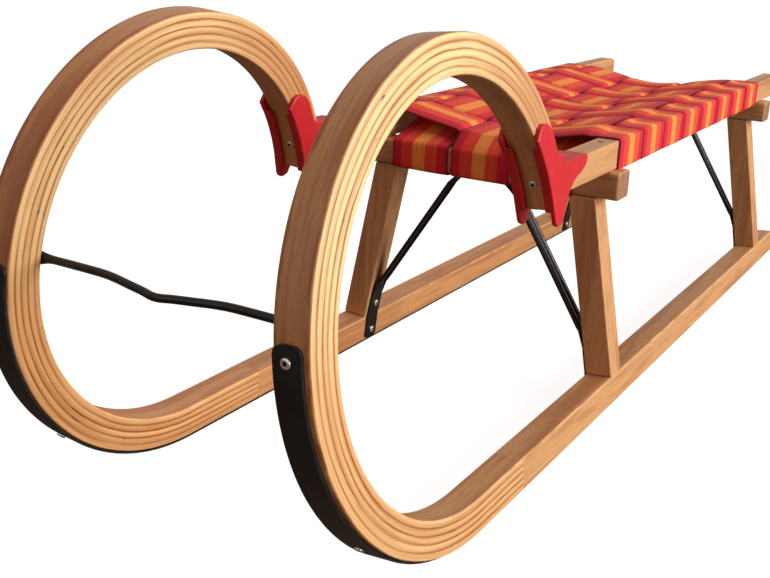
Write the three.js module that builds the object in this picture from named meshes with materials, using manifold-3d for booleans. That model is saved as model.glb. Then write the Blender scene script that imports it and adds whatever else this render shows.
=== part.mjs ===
import * as THREE from 'three';
import { mergeVertices } from 'three/addons/utils/BufferGeometryUtils.js';
import Module from 'manifold-3d';

// Horned sledge in millimetres: +Z up, front horns at -Y, origin on the ground under the middle.
// Stations are distances behind the line where the runner bend starts; the horns are at negative stations.

// Overall
const LENGTH = 1306;
const GAP = 0.3;

// Bentwood runners: straight foot, then three arcs that make the horn
const HALF_TRACK = 148.5;
const CANT = THREE.MathUtils.degToRad(5.5);
const RUNNER_WIDTH = 30;
const RUNNER_DEPTH = 32;
const ARCS = [
  { radius: 228, sweep: 59.1 },
  { radius: 204, sweep: 121.5 },
  { radius: 212, sweep: 76 },
];
const ARC_STEP = 5.5;
const RUNNER_EDGE = 2;

// Steel shoes on the soles
const SHOE_THICK = 2.5;
const SHOE_INNER = 1;
const SHOE_WIDTH = 24;
const SHOE_REAR_MARGIN = 14;
const SHOE_NOSE_ANGLE = 96.6;
const SHOE_SCREW_ANGLES = [93.2, 43.5];

// Legs and crossbeams
const LEG_STATIONS = { front: 328, rear: 957 };
const LEG_DEPTH = 30;
const LEG_SPLAY = 0.2;
const BEAM_HALF_LENGTH = 161;
const BEAM_DEPTH = 32;
const BEAM_BOTTOM = 232.3;
const BEAM_HEIGHT = 30;

// Seat rails
const RAIL_CENTRE = 137.6;
const RAIL_WIDTH = 24;
const RAIL_HEIGHT = 30;
const RAIL_FRONT = 192;
const RAIL_REAR = 1062;
const RAIL_SCREW_STATION = 311;

// Seat webbing
const BAND_THICK = 2;
const BAND_CLEARANCE = 0.4;
const CROSS_BANDS = 8;
const CROSS_FIRST = 366;
const CROSS_PITCH = 73.1;
const CROSS_WIDTH = 70;
const CROSS_SAG = 11;
const LONG_OFFSETS = [-76, 0, 76];
const LONG_NAMES = ['right', 'middle', 'left'];
const LONG_WIDTH = 69;
const LONG_RISE = 8;

// Struts: pressed steel channels with flat ends
const PLATE_THICK = 2.4;
const STRUT_SECTION = { width: 18.6, depth: 4.2, plateWidth: 22, power: 0.35 };
const STRUT_FOOT_HEIGHTS = [5, 8, 20, 31, 34, 50, 64];
const STRUT_SCREW_HEIGHTS = { upper: 52, lower: 16 };
const STRUT_BEND_HEIGHT = 78;
const STRUT_BEND_OFF = 4.2;
const STRUT_TOP_X = 31;
const STRUT_TOP_RUN = 9;
const STRUT_HEAD_LENGTH = 24;
const STRUT_HEAD_SCREW = 15;

// Tie bar between the horns: round rod with flat ends
const TIE_SECTION = { width: 6.6, depth: 6.6, plateWidth: 11, power: 1 };
const TIE_ANGLE = 97.4;
const TIE_BULGE = 9.5;
const TIE_BULGE_DROP = 3;
const TIE_BOW = [[68, 0], [50, 0.14], [32, 0.45], [14, 0.77], [4, 1]];
const TIE_END_MARGIN = 5;
const TIE_NECK = 14;
const PLATE_POWER = 0.35;

// Horn connectors
const WALL = 5;
const LIP = 5;
const LIP_TOP = 311;
const WEB_TOP = 292;
const POCKET_CLEARANCE = 0.3;

// Screw heads
const HEAD_RADIUS = 4;
const HEAD_HEIGHT = 1.4;

const wasm = await Module();
wasm.setup();

const MATERIALS = {
  beech: new THREE.MeshStandardMaterial({ color: 0xc9935a, roughness: 0.55, metalness: 0 }),
  shoe: new THREE.MeshStandardMaterial({ color: 0x17181a, roughness: 0.45, metalness: 0.6 }),
  rod: new THREE.MeshStandardMaterial({ color: 0x101113, roughness: 0.35, metalness: 0.5 }),
  plastic: new THREE.MeshStandardMaterial({ color: 0xd2202c, roughness: 0.35, metalness: 0 }),
  webbing: new THREE.MeshStandardMaterial({ color: 0xd8402c, roughness: 0.8, metalness: 0 }),
  zinc: new THREE.MeshStandardMaterial({ color: 0xb9b7ae, roughness: 0.35, metalness: 0.9 }),
};

// Side profile of the runner in (forward, up) at a depth below the sole; depth 0 is the sole itself
function arcPoint(angle, depth) {
  let cx = 0;
  let cy = ARCS[0].radius;
  let start = 0;
  for (let i = 0; i < ARCS.length; i += 1) {
    const { radius, sweep } = ARCS[i];
    const last = i === ARCS.length - 1;
    if (angle <= start + sweep || last) {
      const t = THREE.MathUtils.degToRad(angle - 90);
      const r = radius - depth;
      return new THREE.Vector2(cx + r * Math.cos(t), cy + r * Math.sin(t));
    }
    start += sweep;
    const t = THREE.MathUtils.degToRad(start - 90);
    cx += (radius - ARCS[i + 1].radius) * Math.cos(t);
    cy += (radius - ARCS[i + 1].radius) * Math.sin(t);
  }
  return null;
}

function angleRange(from, to) {
  const count = Math.max(1, Math.round(Math.abs(to - from) / ARC_STEP));
  return Array.from({ length: count + 1 }, (_, i) => from + ((to - from) * i) / count);
}

const HORN_END = ARCS.reduce((sum, arc) => sum + arc.sweep, 0);
const FRONT_REACH = arcPoint(SHOE_SCREW_ANGLES[0], -2 * GAP - SHOE_THICK - HEAD_HEIGHT).x;
const REAR_STATION = LENGTH - FRONT_REACH;
const ORIGIN_Y = FRONT_REACH - LENGTH / 2;
const LIFT = (GAP + SHOE_THICK) * Math.cos(CANT) - SHOE_INNER * Math.sin(CANT);

// Axes of the left runner: station backwards, up in the runner plane, outwards across the runner
const RUNNER_UP = new THREE.Vector3(-Math.sin(CANT), 0, Math.cos(CANT));
const RUNNER_OUT = new THREE.Vector3(Math.cos(CANT), 0, Math.sin(CANT));
const RUNNER_ORIGIN = new THREE.Vector3(HALF_TRACK, ORIGIN_Y, LIFT);

function runnerPoint(forward, up, across) {
  return RUNNER_ORIGIN.clone()
    .addScaledVector(RUNNER_UP, up)
    .addScaledVector(RUNNER_OUT, across)
    .add(new THREE.Vector3(0, -forward, 0));
}

function runnerMatrix() {
  const m = new THREE.Matrix4();
  m.makeBasis(new THREE.Vector3(0, 1, 0), RUNNER_UP, RUNNER_OUT);
  return m.setPosition(RUNNER_ORIGIN);
}

function plain(geometry) {
  const g = geometry.clone();
  g.deleteAttribute('normal');
  g.deleteAttribute('uv');
  return mergeVertices(g, 1e-4);
}

function mirrored(geometry) {
  const g = plain(geometry);
  g.scale(-1, 1, 1);
  const index = g.index.array;
  for (let i = 0; i < index.length; i += 3) {
    const swap = index[i];
    index[i] = index[i + 1];
    index[i + 1] = swap;
  }
  return g;
}

function toManifold(geometry) {
  const g = plain(geometry);
  return new wasm.Manifold(
    new wasm.Mesh({
      numProp: 3,
      vertProperties: new Float32Array(g.attributes.position.array),
      triVerts: new Uint32Array(g.index.array),
    }),
  );
}

function fromManifold(solid) {
  const mesh = solid.getMesh();
  const g = new THREE.BufferGeometry();
  g.setAttribute('position', new THREE.BufferAttribute(new Float32Array(mesh.vertProperties), 3));
  g.setIndex(new THREE.BufferAttribute(new Uint32Array(mesh.triVerts), 1));
  return g;
}

// Prism of an outline, from low to high along its third axis, with softened end edges
function prism(points, low, high, edge = 0, segments = 1) {
  const g = new THREE.ExtrudeGeometry(new THREE.Shape(points), {
    depth: high - low - 2 * edge,
    bevelEnabled: edge > 0,
    bevelThickness: edge,
    bevelSize: edge,
    bevelOffset: -edge,
    bevelSegments: segments,
    steps: 1,
  });
  g.translate(0, 0, low + edge);
  return g;
}

// Outline in (station, up) of the runner frame
function runnerPrism(points, low, high, edge, segments) {
  return prism(points, low, high, edge, segments).applyMatrix4(runnerMatrix());
}

// Outline in (station, height) extruded across the sledge
function sidePrism(points, low, high, edge, segments) {
  const g = prism(points, low, high, edge, segments);
  const m = new THREE.Matrix4();
  m.makeBasis(new THREE.Vector3(0, 1, 0), new THREE.Vector3(0, 0, 1), new THREE.Vector3(1, 0, 0));
  m.setPosition(0, ORIGIN_Y, 0);
  return g.applyMatrix4(m);
}

// Outline in (x, height) extruded along the sledge between two stations
function frontPrism(points, low, high, edge, segments) {
  const g = prism(points, -high, -low, edge, segments);
  const m = new THREE.Matrix4();
  m.makeBasis(new THREE.Vector3(1, 0, 0), new THREE.Vector3(0, 0, 1), new THREE.Vector3(0, -1, 0));
  m.setPosition(0, ORIGIN_Y, 0);
  return g.applyMatrix4(m);
}

// Rectangle with its own radius at each corner, counter-clockwise from the low corner
function roundedRectangle(x0, y0, x1, y1, radii) {
  const corners = [
    { x: x0, y: y0, r: radii[0], start: 180 },
    { x: x1, y: y0, r: radii[1], start: 270 },
    { x: x1, y: y1, r: radii[2], start: 0 },
    { x: x0, y: y1, r: radii[3], start: 90 },
  ];
  const points = [];
  for (const { x, y, r, start } of corners) {
    const cx = x + (x === x0 ? r : -r);
    const cy = y + (y === y0 ? r : -r);
    for (let i = 0; i <= 3; i += 1) {
      const t = THREE.MathUtils.degToRad(start + 30 * i);
      points.push(new THREE.Vector2(cx + r * Math.cos(t), cy + r * Math.sin(t)));
    }
  }
  return points;
}

// Closed body through a list of rings that all have the same number of points
function loft(rings) {
  const n = rings[0].length;
  const positions = [];
  for (const ring of rings) {
    for (const p of ring) {
      positions.push(p.x, p.y, p.z);
    }
  }
  const index = [];
  for (let i = 0; i < rings.length - 1; i += 1) {
    for (let j = 0; j < n; j += 1) {
      const a = i * n + j;
      const b = i * n + ((j + 1) % n);
      index.push(a, b, b + n);
      index.push(a, b + n, a + n);
    }
  }
  const last = (rings.length - 1) * n;
  for (let j = 1; j < n - 1; j += 1) {
    index.push(0, j + 1, j);
    index.push(last, last + j, last + j + 1);
  }
  const g = new THREE.BufferGeometry();
  g.setAttribute('position', new THREE.Float32BufferAttribute(positions, 3));
  g.setIndex(index);
  return g;
}

// Bar through stations that each give a point, the direction it is wide in, and flatness 0 to 1
function bar(stations, { width, depth, plateWidth, power: roundness }) {
  const count = 12;
  const rings = stations.map(({ point, wide, flat }, i) => {
    const before = stations[Math.max(i - 1, 0)].point;
    const after = stations[Math.min(i + 1, stations.length - 1)].point;
    const along = after.clone().sub(before).normalize();
    const across = wide.clone().addScaledVector(along, -wide.dot(along)).normalize();
    const thin = along.clone().cross(across);
    return Array.from({ length: count }, (_, k) => {
      const t = (2 * Math.PI * (k + 0.5)) / count;
      const w = THREE.MathUtils.lerp(width, plateWidth, flat) / 2;
      const h = THREE.MathUtils.lerp(depth, PLATE_THICK, flat) / 2;
      const power = THREE.MathUtils.lerp(roundness, PLATE_POWER, flat);
      const u = Math.sign(Math.cos(t)) * Math.abs(Math.cos(t)) ** power;
      const v = Math.sign(Math.sin(t)) * Math.abs(Math.sin(t)) ** power;
      return point.clone().addScaledVector(across, w * u).addScaledVector(thin, h * v);
    });
  });
  return loft(rings);
}

// Pan-head screw standing on a surface point
function screwHead(point, normal) {
  const profile = [
    [0, 0],
    [HEAD_RADIUS, 0],
    [HEAD_RADIUS, HEAD_HEIGHT * 0.4],
    [HEAD_RADIUS * 0.7, HEAD_HEIGHT * 0.9],
    [0, HEAD_HEIGHT],
  ].map(([x, y]) => new THREE.Vector2(x, y));
  const g = new THREE.LatheGeometry(profile, 14);
  const turn = new THREE.Quaternion();
  turn.setFromUnitVectors(new THREE.Vector3(0, 1, 0), normal.clone().normalize());
  g.applyQuaternion(turn);
  const base = point.clone().addScaledVector(normal.clone().normalize(), GAP);
  g.translate(base.x, base.y, base.z);
  return g;
}

function station(p) {
  return new THREE.Vector2(-p.x, p.y);
}

// Runner: sole outwards, then back along the upper face
function buildRunner() {
  const angles = angleRange(0, HORN_END);
  const sole = angles.map((t) => station(arcPoint(t, 0)));
  const upper = angles.map((t) => station(arcPoint(t, RUNNER_DEPTH))).reverse();
  const outline = [
    new THREE.Vector2(REAR_STATION, 8),
    new THREE.Vector2(REAR_STATION - 3, 2),
    new THREE.Vector2(REAR_STATION - 9, 0),
    ...sole,
    ...upper,
    new THREE.Vector2(REAR_STATION - 16, RUNNER_DEPTH),
    new THREE.Vector2(REAR_STATION - 5, RUNNER_DEPTH - 5),
    new THREE.Vector2(REAR_STATION, RUNNER_DEPTH - 16),
  ];
  return runnerPrism(outline, 0, RUNNER_WIDTH, RUNNER_EDGE, 2);
}

// Shoe: flat steel strip under the sole with round ends
function buildShoe() {
  const r = SHOE_WIDTH / 2;
  const middle = SHOE_INNER + r;
  const noseRadius = ARCS[1].radius;
  const noseStep = THREE.MathUtils.radToDeg(r / noseRadius);
  const rear = REAR_STATION - SHOE_REAR_MARGIN;
  const ends = [0.04, 0.15, 0.35, 0.65, 1];
  const places = [];
  for (const e of ends) {
    const at = (d) => new THREE.Vector2(-(rear - e * r), -d);
    places.push({ at, half: r * Math.sqrt(1 - (1 - e) ** 2) });
  }
  for (const t of angleRange(0, SHOE_NOSE_ANGLE - noseStep)) {
    places.push({ at: (d) => arcPoint(t, -d), half: r });
  }
  for (const e of ends.slice(0, -1).reverse()) {
    const t = SHOE_NOSE_ANGLE - noseStep * e;
    places.push({ at: (d) => arcPoint(t, -d), half: r * Math.sqrt(1 - (1 - e) ** 2) });
  }
  const rings = places.map(({ at, half }) => {
    const top = at(GAP);
    const bottom = at(GAP + SHOE_THICK);
    return [
      runnerPoint(top.x, top.y, middle - half),
      runnerPoint(bottom.x, bottom.y, middle - half),
      runnerPoint(bottom.x, bottom.y, middle + half),
      runnerPoint(top.x, top.y, middle + half),
    ];
  });
  return loft(rings);
}

function legFaceX(z, across) {
  const foot = runnerPoint(0, RUNNER_DEPTH + GAP, across);
  return foot.x - LEG_SPLAY * (z - foot.z);
}

function buildLeg(at) {
  const top = BEAM_BOTTOM - GAP;
  const inner = runnerPoint(0, RUNNER_DEPTH + GAP, 0);
  const outer = runnerPoint(0, RUNNER_DEPTH + GAP, RUNNER_WIDTH);
  const outline = [
    new THREE.Vector2(inner.x, inner.z),
    new THREE.Vector2(outer.x, outer.z),
    new THREE.Vector2(legFaceX(top, RUNNER_WIDTH), top),
    new THREE.Vector2(legFaceX(top, 0), top),
  ];
  return frontPrism(outline, at - LEG_DEPTH / 2, at + LEG_DEPTH / 2, 1.5, 2);
}

function buildBeam(at) {
  const outline = roundedRectangle(
    at - BEAM_DEPTH / 2,
    BEAM_BOTTOM,
    at + BEAM_DEPTH / 2,
    BEAM_BOTTOM + BEAM_HEIGHT,
    [4, 4, 4, 4],
  );
  return sidePrism(outline, -BEAM_HALF_LENGTH, BEAM_HALF_LENGTH, 2.5, 2);
}

const RAIL_BOTTOM = BEAM_BOTTOM + BEAM_HEIGHT + GAP;
const RAIL_TOP = RAIL_BOTTOM + RAIL_HEIGHT;
const RAIL_OUTER = RAIL_CENTRE + RAIL_WIDTH / 2;
const RAIL_INNER = RAIL_CENTRE - RAIL_WIDTH / 2;

function buildRail() {
  const outline = roundedRectangle(RAIL_FRONT, RAIL_BOTTOM, RAIL_REAR, RAIL_TOP, [3, 4, 9, 3]);
  return sidePrism(outline, RAIL_INNER, RAIL_OUTER, 1.5, 2);
}

// Ribbon outline: a path thickened to both sides
function ribbon(path, thick) {
  const left = [];
  const right = [];
  path.forEach((p, i) => {
    const before = path[Math.max(i - 1, 0)];
    const after = path[Math.min(i + 1, path.length - 1)];
    const d1 = i > 0 ? p.clone().sub(before).normalize() : after.clone().sub(p).normalize();
    const d2 = i < path.length - 1 ? after.clone().sub(p).normalize() : d1;
    const along = d1.clone().add(d2).normalize();
    const normal = new THREE.Vector2(-along.y, along.x);
    const reach = thick / 2 / Math.max(0.5, normal.dot(new THREE.Vector2(-d1.y, d1.x)));
    left.push(p.clone().addScaledVector(normal, reach));
    right.push(p.clone().addScaledVector(normal, -reach));
  });
  return [...right, ...left.reverse()];
}

function buildCrossBand(k) {
  const side = RAIL_OUTER + BAND_CLEARANCE + BAND_THICK / 2;
  const top = RAIL_TOP + BAND_CLEARANCE + BAND_THICK / 2;
  const path = [new THREE.Vector2(-side, RAIL_BOTTOM + 0.5), new THREE.Vector2(-side, top)];
  const span = RAIL_INNER;
  for (let i = 0; i <= 12; i += 1) {
    const x = -span + (2 * span * i) / 12;
    path.push(new THREE.Vector2(x, top - CROSS_SAG * (1 - (x / span) ** 2)));
  }
  path.push(new THREE.Vector2(side, top), new THREE.Vector2(side, RAIL_BOTTOM + 0.5));
  const at = CROSS_FIRST + CROSS_PITCH * k;
  return frontPrism(ribbon(path, BAND_THICK), at - CROSS_WIDTH / 2, at + CROSS_WIDTH / 2);
}

function buildLongBand(offset) {
  const clear = BAND_CLEARANCE + BAND_THICK / 2;
  const front = LEG_STATIONS.front;
  const rear = LEG_STATIONS.rear;
  const reach = BEAM_DEPTH / 2 + clear;
  const top = BEAM_BOTTOM + BEAM_HEIGHT + clear;
  const path = [
    new THREE.Vector2(front - reach, BEAM_BOTTOM + 0.5),
    new THREE.Vector2(front - reach, top),
  ];
  const start = front + BEAM_DEPTH / 2;
  const end = rear - BEAM_DEPTH / 2;
  for (let i = 0; i <= 12; i += 1) {
    const u = i / 12;
    path.push(new THREE.Vector2(start + (end - start) * u, top + LONG_RISE * Math.sin(Math.PI * u)));
  }
  path.push(new THREE.Vector2(rear + reach, top), new THREE.Vector2(rear + reach, BEAM_BOTTOM + 0.5));
  return sidePrism(ribbon(path, BAND_THICK), offset - LONG_WIDTH / 2, offset + LONG_WIDTH / 2);
}

// Strut of the left side: flat foot over the leg and runner, channel, flat head under the crossbeam
function strutFoot(height) {
  const out = -(GAP + PLATE_THICK / 2);
  const joint = runnerPoint(0, RUNNER_DEPTH, 0);
  if (height < joint.z) {
    return runnerPoint(0, (height - LIFT) / Math.cos(CANT), out);
  }
  const x = legFaceX(height, 0) + out / Math.cos(Math.atan(LEG_SPLAY));
  return new THREE.Vector3(x, ORIGIN_Y, height);
}

function buildStrut(at) {
  const wide = new THREE.Vector3(0, 1, 0);
  const head = BEAM_BOTTOM - GAP - PLATE_THICK / 2;
  const lowX = legFaceX(STRUT_BEND_HEIGHT, 0) - STRUT_BEND_OFF;
  const low = new THREE.Vector3(lowX, ORIGIN_Y, STRUT_BEND_HEIGHT);
  const high = new THREE.Vector3(STRUT_TOP_X + STRUT_TOP_RUN, ORIGIN_Y, head - STRUT_TOP_RUN);
  const headAt = (inwards, drop) => new THREE.Vector3(STRUT_TOP_X - inwards, ORIGIN_Y, head - drop);
  const points = [
    ...STRUT_FOOT_HEIGHTS.map((z) => ({ point: strutFoot(z), flat: 1 })),
    { point: low, flat: 0.4 },
    { point: low.clone().lerp(high, 0.06), flat: 0 },
    { point: low.clone().lerp(high, 0.92), flat: 0 },
    { point: high, flat: 0.5 },
    { point: headAt(0, 0.9), flat: 0.95 },
    { point: headAt(5, 0), flat: 1 },
    { point: headAt(STRUT_HEAD_LENGTH, 0), flat: 1 },
  ];
  const stations = points.map(({ point, flat }) => ({ point, flat, wide }));
  const g = bar(stations, STRUT_SECTION);
  g.translate(0, at, 0);
  return g;
}

// Tie bar between the horns, bowed forwards in the middle
function buildTieBar() {
  const depth = RUNNER_DEPTH + GAP + PLATE_THICK / 2;
  const seat = arcPoint(TIE_ANGLE, depth);
  const tangent = arcPoint(TIE_ANGLE + 1, depth).sub(arcPoint(TIE_ANGLE - 1, depth)).normalize();
  const wide = RUNNER_UP.clone().multiplyScalar(tangent.y).add(new THREE.Vector3(0, -tangent.x, 0));
  const outer = runnerPoint(seat.x, seat.y, RUNNER_WIDTH - TIE_END_MARGIN);
  const inner = runnerPoint(seat.x, seat.y, 3);
  const neck = new THREE.Vector3(inner.x - TIE_NECK, inner.y + 1.5, inner.z);
  const half = [
    { point: outer, flat: 1 },
    { point: runnerPoint(seat.x, seat.y, RUNNER_WIDTH - TIE_END_MARGIN - 2), flat: 1 },
    { point: inner, flat: 1 },
    { point: neck, flat: 0 },
  ];
  for (const [x, bow] of TIE_BOW) {
    const point = new THREE.Vector3(x, neck.y - TIE_BULGE * bow, neck.z - TIE_BULGE_DROP * bow);
    half.push({ point, flat: 0 });
  }
  const other = half.map(({ point, flat }) => ({
    point: new THREE.Vector3(-point.x, point.y, point.z),
    flat,
    wide: new THREE.Vector3(-wide.x, wide.y, wide.z),
  }));
  return bar([...half.map((s) => ({ ...s, wide })), ...other.reverse()], TIE_SECTION);
}

// Moulded connector: channel for the horn tip and pocket for the seat rail end
function buildConnector() {
  const frontEdge = angleRange(230.5, 257).map((t) => station(arcPoint(t, RUNNER_DEPTH + LIP)));
  const rest = [
    [151, 244],
    [152, 239],
    [155, 235.5],
    [158.5, 234.2],
    [162, 234.5],
    [168, 237],
    [171.5, 243],
    [176, 251],
    [181, 258],
    [188, 264.5],
    [195, 269.5],
    [204.5, 273.5],
    [217, 277],
    [225, 281],
    [229, 287],
    [229, 300],
    [168, 300],
    [160, 302],
    [156, 307],
    [152, 315],
    [148, 322],
    [143, 328],
    [136, 332],
    [128, 332.5],
    [121, 329],
  ].map(([x, y]) => new THREE.Vector2(x, y));
  const outline = [...frontEdge, ...rest].reverse();
  const low = -WALL;
  const high = RUNNER_WIDTH + WALL;
  let body = toManifold(runnerPrism(outline, low, high, 1.2, 2));
  const inLow = -GAP;
  const inHigh = RUNNER_WIDTH + GAP;
  const sweep = angleRange(200, 264);
  const channel = [
    ...sweep.map((t) => station(arcPoint(t, -GAP))),
    ...sweep.map((t) => station(arcPoint(t, RUNNER_DEPTH + GAP))).reverse(),
  ];
  const window = [
    ...sweep.map((t) => station(arcPoint(t, RUNNER_DEPTH - 2))),
    ...sweep.map((t) => station(arcPoint(t, RUNNER_DEPTH + 3 * LIP))).reverse(),
  ];
  const upper = [[90, LIP_TOP], [260, LIP_TOP], [260, 400], [90, 400]];
  const behind = [[150, WEB_TOP + 1], [260, WEB_TOP + 1], [260, 400], [150, 400]];
  const below = [[90, 200], [186, 200], [186, 249], [90, 249]];
  const square = (points) => points.map(([x, y]) => new THREE.Vector2(x, y));
  const cuts = [
    runnerPrism(channel, inLow, inHigh),
    runnerPrism(window, LIP, RUNNER_WIDTH - LIP),
    runnerPrism(square(upper), inLow, inHigh),
    runnerPrism(square(behind), inLow, inHigh),
    runnerPrism(square(below), inLow, inHigh),
    sidePrism(
      square([
        [RAIL_FRONT - POCKET_CLEARANCE, RAIL_BOTTOM - 40],
        [300, RAIL_BOTTOM - 40],
        [300, RAIL_TOP + POCKET_CLEARANCE],
        [RAIL_FRONT - POCKET_CLEARANCE, RAIL_TOP + POCKET_CLEARANCE],
      ]),
      RAIL_INNER - POCKET_CLEARANCE,
      RAIL_OUTER + POCKET_CLEARANCE,
    ),
    sidePrism(
      square([[173, RAIL_TOP + 3.3], [300, RAIL_TOP + 3.3], [300, 420], [173, 420]]),
      0,
      300,
    ),
  ];
  for (const cut of cuts) {
    body = body.subtract(toManifold(cut));
  }
  return fromManifold(body);
}

const sledge = new THREE.Group();
sledge.name = 'horned_sledge';

function add(name, geometry, material) {
  const g = geometry.clone();
  g.computeVertexNormals();
  const mesh = new THREE.Mesh(g, MATERIALS[material]);
  mesh.name = name;
  sledge.add(mesh);
}

function addPair(name, geometry, material) {
  add(`${name}_left`, plain(geometry), material);
  add(`${name}_right`, mirrored(geometry), material);
}

addPair('runner', buildRunner(), 'beech');
addPair('runner_shoe', buildShoe(), 'shoe');
addPair('seat_rail', buildRail(), 'beech');
addPair('horn_connector', buildConnector(), 'plastic');

for (const [end, at] of Object.entries(LEG_STATIONS)) {
  addPair(`${end}_leg`, buildLeg(at), 'beech');
  add(`${end}_crossbeam`, plain(buildBeam(at)), 'beech');
  addPair(`${end}_strut`, buildStrut(at), 'rod');
  for (const [place, height] of Object.entries(STRUT_SCREW_HEIGHTS)) {
    const p = strutFoot(height);
    const q = strutFoot(height + 1);
    const normal = new THREE.Vector3(p.z - q.z, 0, q.x - p.x).normalize();
    const face = p.clone().addScaledVector(normal, PLATE_THICK / 2);
    face.y += at;
    addPair(`${end}_strut_${place}_screw`, screwHead(face, normal), 'zinc');
  }
  const headX = STRUT_TOP_X - STRUT_HEAD_SCREW;
  const under = new THREE.Vector3(headX, ORIGIN_Y + at, BEAM_BOTTOM - GAP - PLATE_THICK);
  addPair(`${end}_strut_head_screw`, screwHead(under, new THREE.Vector3(0, 0, -1)), 'zinc');
}

for (let k = 0; k < CROSS_BANDS; k += 1) {
  add(`cross_band_${k + 1}`, plain(buildCrossBand(k)), 'webbing');
}
LONG_OFFSETS.forEach((offset, i) => {
  add(`long_band_${LONG_NAMES[i]}`, plain(buildLongBand(offset)), 'webbing');
});

add('horn_tie_bar', plain(buildTieBar()), 'rod');

// Screws that follow the runner's curve, on the sole side or on the upper side
function curveScrew(angle, depth, across, outward) {
  const p = arcPoint(angle, depth);
  const q = arcPoint(angle, depth + 1);
  const at = runnerPoint(p.x, p.y, across);
  const inward = runnerPoint(q.x, q.y, across).sub(at).normalize();
  return screwHead(at, inward.multiplyScalar(outward));
}

const shoeMiddle = SHOE_INNER + SHOE_WIDTH / 2;
SHOE_SCREW_ANGLES.forEach((angle, i) => {
  const screw = curveScrew(angle, -GAP - SHOE_THICK, shoeMiddle, -1);
  addPair(i === 0 ? 'shoe_nose_screw' : 'shoe_bend_screw', screw, 'zinc');
});
addPair('horn_tip_screw', curveScrew(248, RUNNER_DEPTH, RUNNER_WIDTH / 2, 1), 'zinc');
const tieDepth = RUNNER_DEPTH + GAP + PLATE_THICK;
addPair('tie_bar_screw', curveScrew(TIE_ANGLE, tieDepth, RUNNER_WIDTH / 2, 1), 'zinc');
const railHole = new THREE.Vector3(RAIL_CENTRE, ORIGIN_Y + RAIL_SCREW_STATION, RAIL_TOP);
addPair('rail_screw', screwHead(railHole, new THREE.Vector3(0, 0, 1)), 'zinc');

export default sledge;
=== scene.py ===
"""Looks of the horned sledge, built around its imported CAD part. Metres, +Z up, horns at -Y."""

import math

import bmesh
import bpy
import numpy as np
from mathutils import Matrix, Vector


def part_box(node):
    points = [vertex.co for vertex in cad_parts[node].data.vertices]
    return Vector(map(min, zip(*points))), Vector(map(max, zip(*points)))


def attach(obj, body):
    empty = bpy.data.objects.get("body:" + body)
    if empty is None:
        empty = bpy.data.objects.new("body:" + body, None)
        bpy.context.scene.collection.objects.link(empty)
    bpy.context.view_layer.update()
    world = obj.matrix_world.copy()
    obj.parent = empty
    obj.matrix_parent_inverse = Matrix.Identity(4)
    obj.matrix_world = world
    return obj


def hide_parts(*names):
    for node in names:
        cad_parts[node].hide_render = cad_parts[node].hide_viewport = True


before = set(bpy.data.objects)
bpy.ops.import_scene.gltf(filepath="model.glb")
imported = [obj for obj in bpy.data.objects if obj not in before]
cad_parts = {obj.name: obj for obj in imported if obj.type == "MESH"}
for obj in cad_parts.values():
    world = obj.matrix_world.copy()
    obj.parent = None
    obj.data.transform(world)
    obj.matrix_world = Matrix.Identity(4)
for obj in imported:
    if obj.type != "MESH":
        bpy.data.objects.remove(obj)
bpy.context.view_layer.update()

MM = 0.001
QUARTER = math.pi / 2
SIDES = {"left": 1, "right": -1}

# Bentwood runner: straight foot, then arcs (radius at the sole, sweep in degrees) that make the horn
ARCS = ((228 * MM, 59.1), (204 * MM, 121.5), (212 * MM, 76.0))
HALF_TRACK = 148.5 * MM
CANT = math.radians(5.5)
RUNNER_WIDTH = 30 * MM
RUNNER_DEPTH = 32 * MM
RUNNER_EDGE = 2 * MM
PLIES = 5
PLY = RUNNER_DEPTH / PLIES
PLY_GROOVE = 0.25 * MM
PLY_GROOVE_HALF_WIDTH = 0.4 * MM
PLY_FADE = 3 * MM
PLY_END = {"left": 86 * MM, "right": 104 * MM}
TIP_EDGE = 1.5 * MM
HEEL_TOP_RADIUS = 16 * MM
HEEL_LOW_RADIUS = 8 * MM

# Steel shoe: a flat strip under the runner with round ends and a small soft edge
GAP = 0.3 * MM
SHOE_THICK = 2.5 * MM
SHOE_WIDTH = 24 * MM
SHOE_EDGE = 0.6 * MM
SHOE_INNER = 1 * MM
SHOE_HEEL_MARGIN = 14 * MM
SHOE_NOSE_ANGLE = 96.6
SHOE_END = 8 * MM
SHOE_END_POWER = 2.6

# Strut: a flat plate on the leg, a channel with a groove along it, a flat plate under the crossbeam
LEG_SPLAY = 0.2
PLATE_HALF_THICK = 1.2 * MM
STRUT_SHEET = 0.9 * MM
STRUT_HALF_SHEET = 11 * MM
STRUT_HALF_WEB = 6.3 * MM
STRUT_FOLD = 2.1 * MM
STRUT_HALF_GROOVE = 4.2 * MM
STRUT_GROOVE_DEPTH = 1.5 * MM
# Width of the painted highlight along each ridge beside the strut's groove
RIDGE_HIGHLIGHT_WIDTH = 0.9 * MM
SHEET_STEPS = 61
STRUT_END = 7 * MM
STRUT_END_POWER = 2.6
STRUT_FOOT_HEIGHTS = (5, 8, 14, 20, 28, 34, 42, 50, 57, 64)
STRUT_BEND_HEIGHT = 78 * MM
STRUT_BEND_OFF = 4.2 * MM
STRUT_TOP_X = 31 * MM
STRUT_TOP_RUN = 9 * MM
# Along the channel: (share of its length, flatness). Under the crossbeam: (inwards, down, flatness) in mm
STRUT_CHANNEL = ((0, 0.4), (0.06, 0), (0.3, 0), (0.6, 0), (0.92, 0), (1, 0.5))
STRUT_HEAD = ((0, 0.9, 0.95), (5, 0, 1), (14, 0, 1), (24, 0, 1))

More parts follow.
